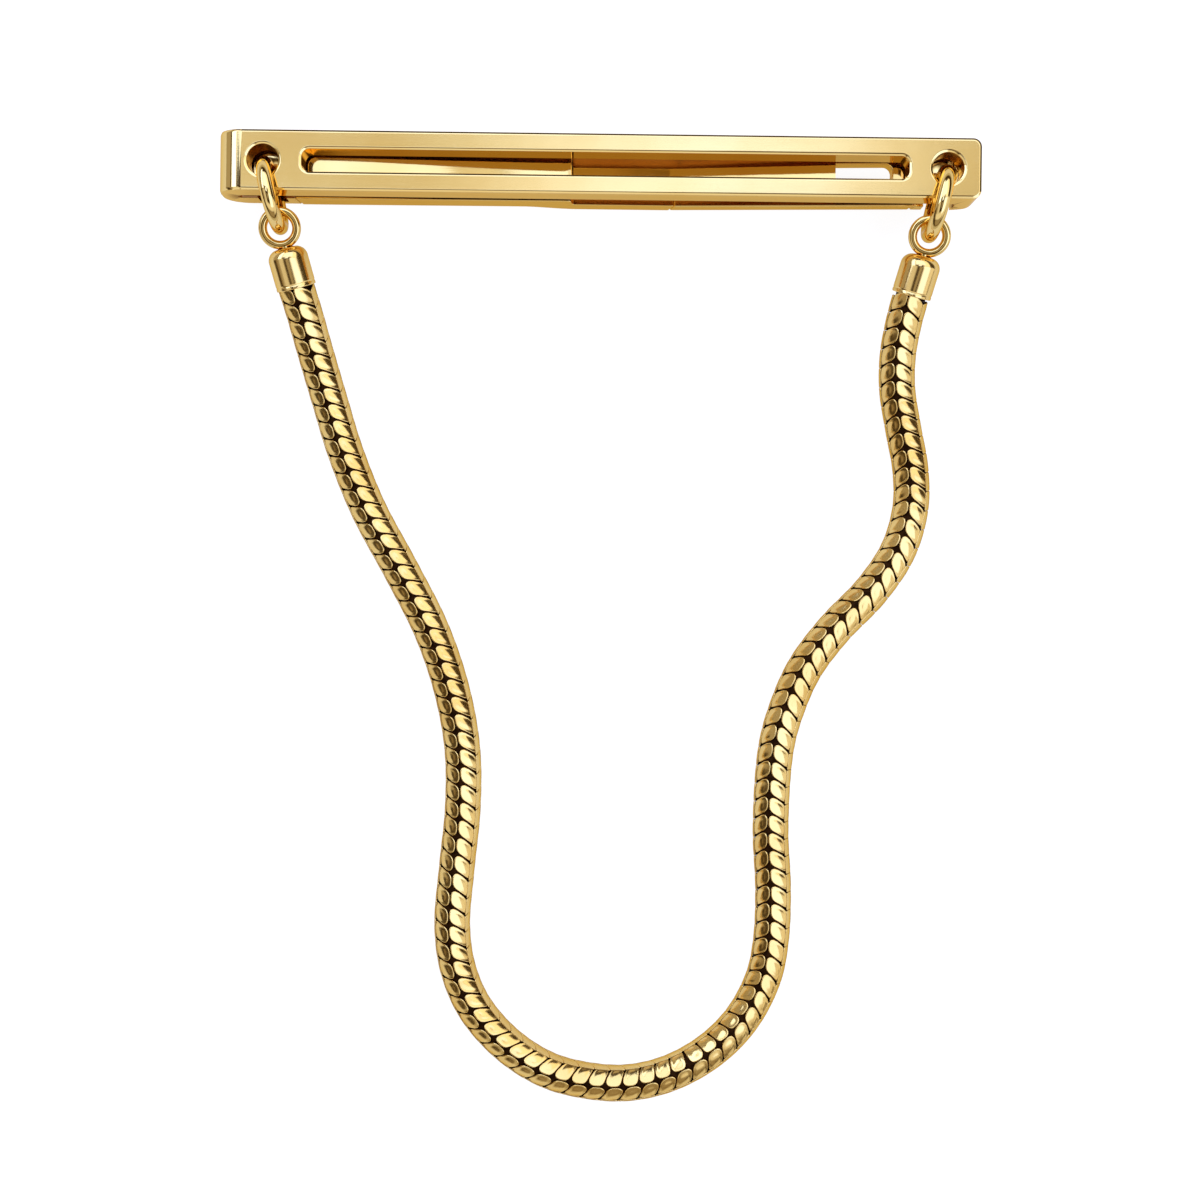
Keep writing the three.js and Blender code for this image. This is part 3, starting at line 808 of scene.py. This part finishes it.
def buildEye(side, name):
    loop = meshFrom(name + "Eye", *sweptRing(eyeSetup))
    end = eyeSetup["radius"] + eyeSetup["wire"] + eyeSetup["shank"]
    wire = eyeSetup["wire"] * eyeSetup["shankShare"]  # slimmer than the loop, so they cross cleanly
    top, bevel = -eyeSetup["radius"] - eyeSetup["shankStart"], eyeSetup["shankBevel"]
    profile = [(0, top), (wire, top), (wire, bevel - end), (wire - bevel, -end), (0, -end)]
    shank = meshFrom(name + "Shank", *lathe(profile, eyeSetup["shankSides"]))
    mesh = carve(name + "Eye", loop, [(shank, "UNION")], 0)
    mesh.transform(Matrix.Scale(mm, 4) @ dropPlace(side) @ Matrix.Scale(1 / mm, 4))
    mesh.shade_smooth()
    return addPiece(name + "Eye", mesh, [wireGold], "chain", name + "_eye_pin")


def buildCap(side, name):
    # from the bore's floor, out over the dome, down the wall to the lip, and back into the mouth
    radius, length, bore, lip = capSetup["radius"], capSetup["length"], capSetup["bore"], capSetup["lip"]
    shoulder, crown, bevel = capSetup["shoulder"], capSetup["crown"], capSetup["boreBevel"]
    floor = -eyeSetup["shank"] - capSetup["boreRoom"]
    profile = [(0, floor), (bore, floor), (bore, -bevel), (bore + bevel, 0)]
    domeFrom, domeSteps = capSetup["domeFrom"], capSetup["domeSteps"]
    profile += arc((radius - shoulder, -shoulder - crown), shoulder, domeFrom, 0, domeSteps)
    profile += [(radius - inset, -length + lips * lip) for inset, lips in capSetup["groove"]]
    profile += arc((radius - lip / 2, -length + lip / 2), lip / 2, 0, -90, capSetup["lipSteps"])
    mouth, (stepIn, stepUp), inEnd = capSetup["mouth"], capSetup["mouthStep"], -length + capSetup["recess"]
    profile += [(mouth, -length), (mouth - stepIn, -length + stepUp), (mouth - stepIn, inEnd), (0, inEnd)]
    points, faces = lathe(profile, capSetup["around"])
    place = dropPlace(side) @ Matrix.Translation((0, -capSetup["start"], 0))
    mesh = meshFrom(name + "Cap", [place @ Vector(p) for p in points], faces)
    return addPiece(name + "Cap", mesh, [capGold], "chain", name + "_end_cap")


onChainEnds = []
for side, name in ((-1, "left"), (1, "right")):
    buildRing(side, name)
    onChainEnds += [buildEye(side, name), buildCap(side, name)]
chainLength * mm
print("rings, eyes and caps made")


# stage: a white table, and a studio of soft boxes with dark gaps for the gold to mirror
tableSetup = {"half": 3.0, "drop": 0.00002, "glow": 0.9, "paint": 0.22, "shaded": 0.66, "inMetal": 0.45}
tableMesh = bpy.data.meshes.new("tableTop")
corners = [(x * tableSetup["half"], y * tableSetup["half"], -tableSetup["drop"])
           for x, y in ((-1, -1), (1, -1), (1, 1), (-1, 1))]
tableMesh.from_pydata(corners, [], [(0, 1, 2, 3)])
tableTop = bpy.data.objects.new("tableTop", tableMesh)
scene.collection.objects.link(tableTop)
tableMaterial, board = newMaterial("whiteTable")
seen = board.node("ShaderNodeLightPath", {}, [], "Is Camera Ray")
seen = seen.atLeast(board.node("ShaderNodeLightPath", {}, [], "Is Transmission Ray"))
seen = seen.atLeast(board.node("ShaderNodeLightPath", {}, [], "Is Glossy Ray") * tableSetup["inMetal"])
paint = board.node("ShaderNodeBsdfDiffuse", {}, {"Color": (tableSetup["paint"],) * 3 + (1,)})
glow = board.node("ShaderNodeEmission", {}, {"Color": (1, 1, 1, 1), "Strength": tableSetup["glow"]})
lit = board.node("ShaderNodeAddShader", {}, [paint, glow])
shaded = board.node("ShaderNodeBsdfDiffuse", {}, {"Color": (tableSetup["shaded"],) * 3 + (1,)})
top = board.node("ShaderNodeMixShader", {}, [seen, shaded, lit])
clear = board.node("ShaderNodeBsdfTransparent", {}, {})
behind = board.node("ShaderNodeNewGeometry", {}, [], "Backfacing")
surface = board.node("ShaderNodeMixShader", {}, [behind, top, clear])
board.node("ShaderNodeOutputMaterial", {}, {"Surface": surface})
tableMesh.materials.append(tableMaterial)

# soft boxes by their turns from straight up, across and along (low, high, softness), with level and coolness
studioBoxes = {
    "face": {"across": (-14.5, 15, 0.8), "along": (11.4, 14.5, 0.3), "level": 0.74, "cool": 0.0},
    "leaf": {"across": (-15, 3, 1.0), "along": (1, 11.5, 0.3), "level": 1.8, "cool": 1.0},
    "far": {"across": (-32, 32, 4), "along": (14.7, 62, 0.3), "level": 1.8, "cool": 0.95},
    "foldStripe": {"across": (-57, -35, 1.0), "along": (5, 70, 2), "level": 2.6, "cool": 0.9},
    "foldSide": {"across": (-120, -63, 1.5), "along": (3, 120, 2), "level": 0.42, "cool": 0.0},
    "leftHigh": {"across": (-52, -23, 4), "along": (-40, 4, 4), "level": 0.8, "cool": 0.2},
    "leftLow": {"across": (-70, -45, 6), "along": (-60, 4, 4), "level": 0.34, "cool": 0.0},
    "rightHigh": {"across": (15, 58, 6), "along": (-45, 5, 5), "level": 1.9, "cool": 0.95},
    "rightLow": {"across": (58, 88, 6), "along": (-70, 5, 5), "level": 1.0, "cool": 0.2},
    "rightFar": {"across": (19, 54, 3), "along": (5, 66, 3), "level": 1.5, "cool": 0.2},
    "nearLeft": {"across": (-9, 1, 0.8), "along": (-23, -5, 1.5), "level": 0.42, "cool": 0.0},
    "nearRight": {"across": (-1, 7.5, 0.8), "along": (-16.5, -5, 1), "level": 0.42, "cool": 0.0},
    "frontHigh": {"across": (-60, 60, 8), "along": (-58, -35, 5), "level": 0.95, "cool": 0.2},
    "frontLow": {"across": (-60, 60, 8), "along": (-78, -58, 5), "level": 0.35, "cool": 0.0},
    "frontEnd": {"across": (-180, 180, 1), "along": (-120, -80, 3), "level": 0.55, "cool": 0.0},
    "farEnd": {"across": (-180, 180, 1), "along": (80, 120, 3), "level": 0.55, "cool": 0.0},
    "rightEnd": {"across": (88, 120, 3), "along": (-180, 180, 1), "level": 0.5, "cool": 0.0},
}
studioSetup = {"gap": 0.06, "faceGlow": 0.95, "glowRise": (-6.5, 2.5), "glowFall": (5, 11.5),
               "cool": (0.72, 0.92, 1.6, 1), "dim": (1, 0.72, 0.36, 1), "dimRange": (0.05, 0.6)}
world = bpy.data.worlds.new("studio")
scene.world = world
world.use_nodes = True
board = Board(world.node_tree)
way = board.node("ShaderNodeTexCoord", {}, [], "Generated")
wayX = board.node("ShaderNodeSeparateXYZ", {}, [way], "X")
wayY = board.node("ShaderNodeSeparateXYZ", {}, [way], "Y")
wayZ = board.node("ShaderNodeSeparateXYZ", {}, [way], "Z")
degree = 180 / math.pi
# turns from straight up, to the right and towards the far side
acrossTurn = board.node("ShaderNodeMath", {"operation": "ARCTAN2"}, [wayX, wayZ]) * degree
alongTurn = board.node("ShaderNodeMath", {"operation": "ARCTAN2"}, [wayY, wayZ]) * degree
panels = {name: acrossTurn.window(*box["across"]) * alongTurn.window(*box["along"])
          for name, box in studioBoxes.items()}
glowStart, glowEnd = (acrossTurn.rise(*studioSetup[key]) for key in ("glowRise", "glowFall"))
faceGlow = glowStart * (1 - glowEnd) * panels["face"]
light, coolShare = panels["face"] * studioBoxes["face"]["level"], faceGlow
for name, box in studioBoxes.items():
    light = light.atLeast(panels[name] * box["level"])
    coolShare = coolShare.atLeast(panels[name] * box["cool"])
light = light.atLeast(studioSetup["gap"]) + faceGlow * studioSetup["faceGlow"]
cameraRay = board.node("ShaderNodeLightPath", {}, [], "Is Camera Ray")
strength = cameraRay + (1 - cameraRay) * light
colour = board.mixColour(light.rise(*studioSetup["dimRange"]), studioSetup["dim"], (1, 1, 1, 1))
colour = board.mixColour(coolShare, colour, studioSetup["cool"])
colour = board.mixColour(cameraRay, colour, (1, 1, 1, 1))
background = board.node("ShaderNodeBackground", {}, {"Color": colour, "Strength": strength})
board.node("ShaderNodeOutputWorld", {}, {"Surface": background})
print("table and studio set")
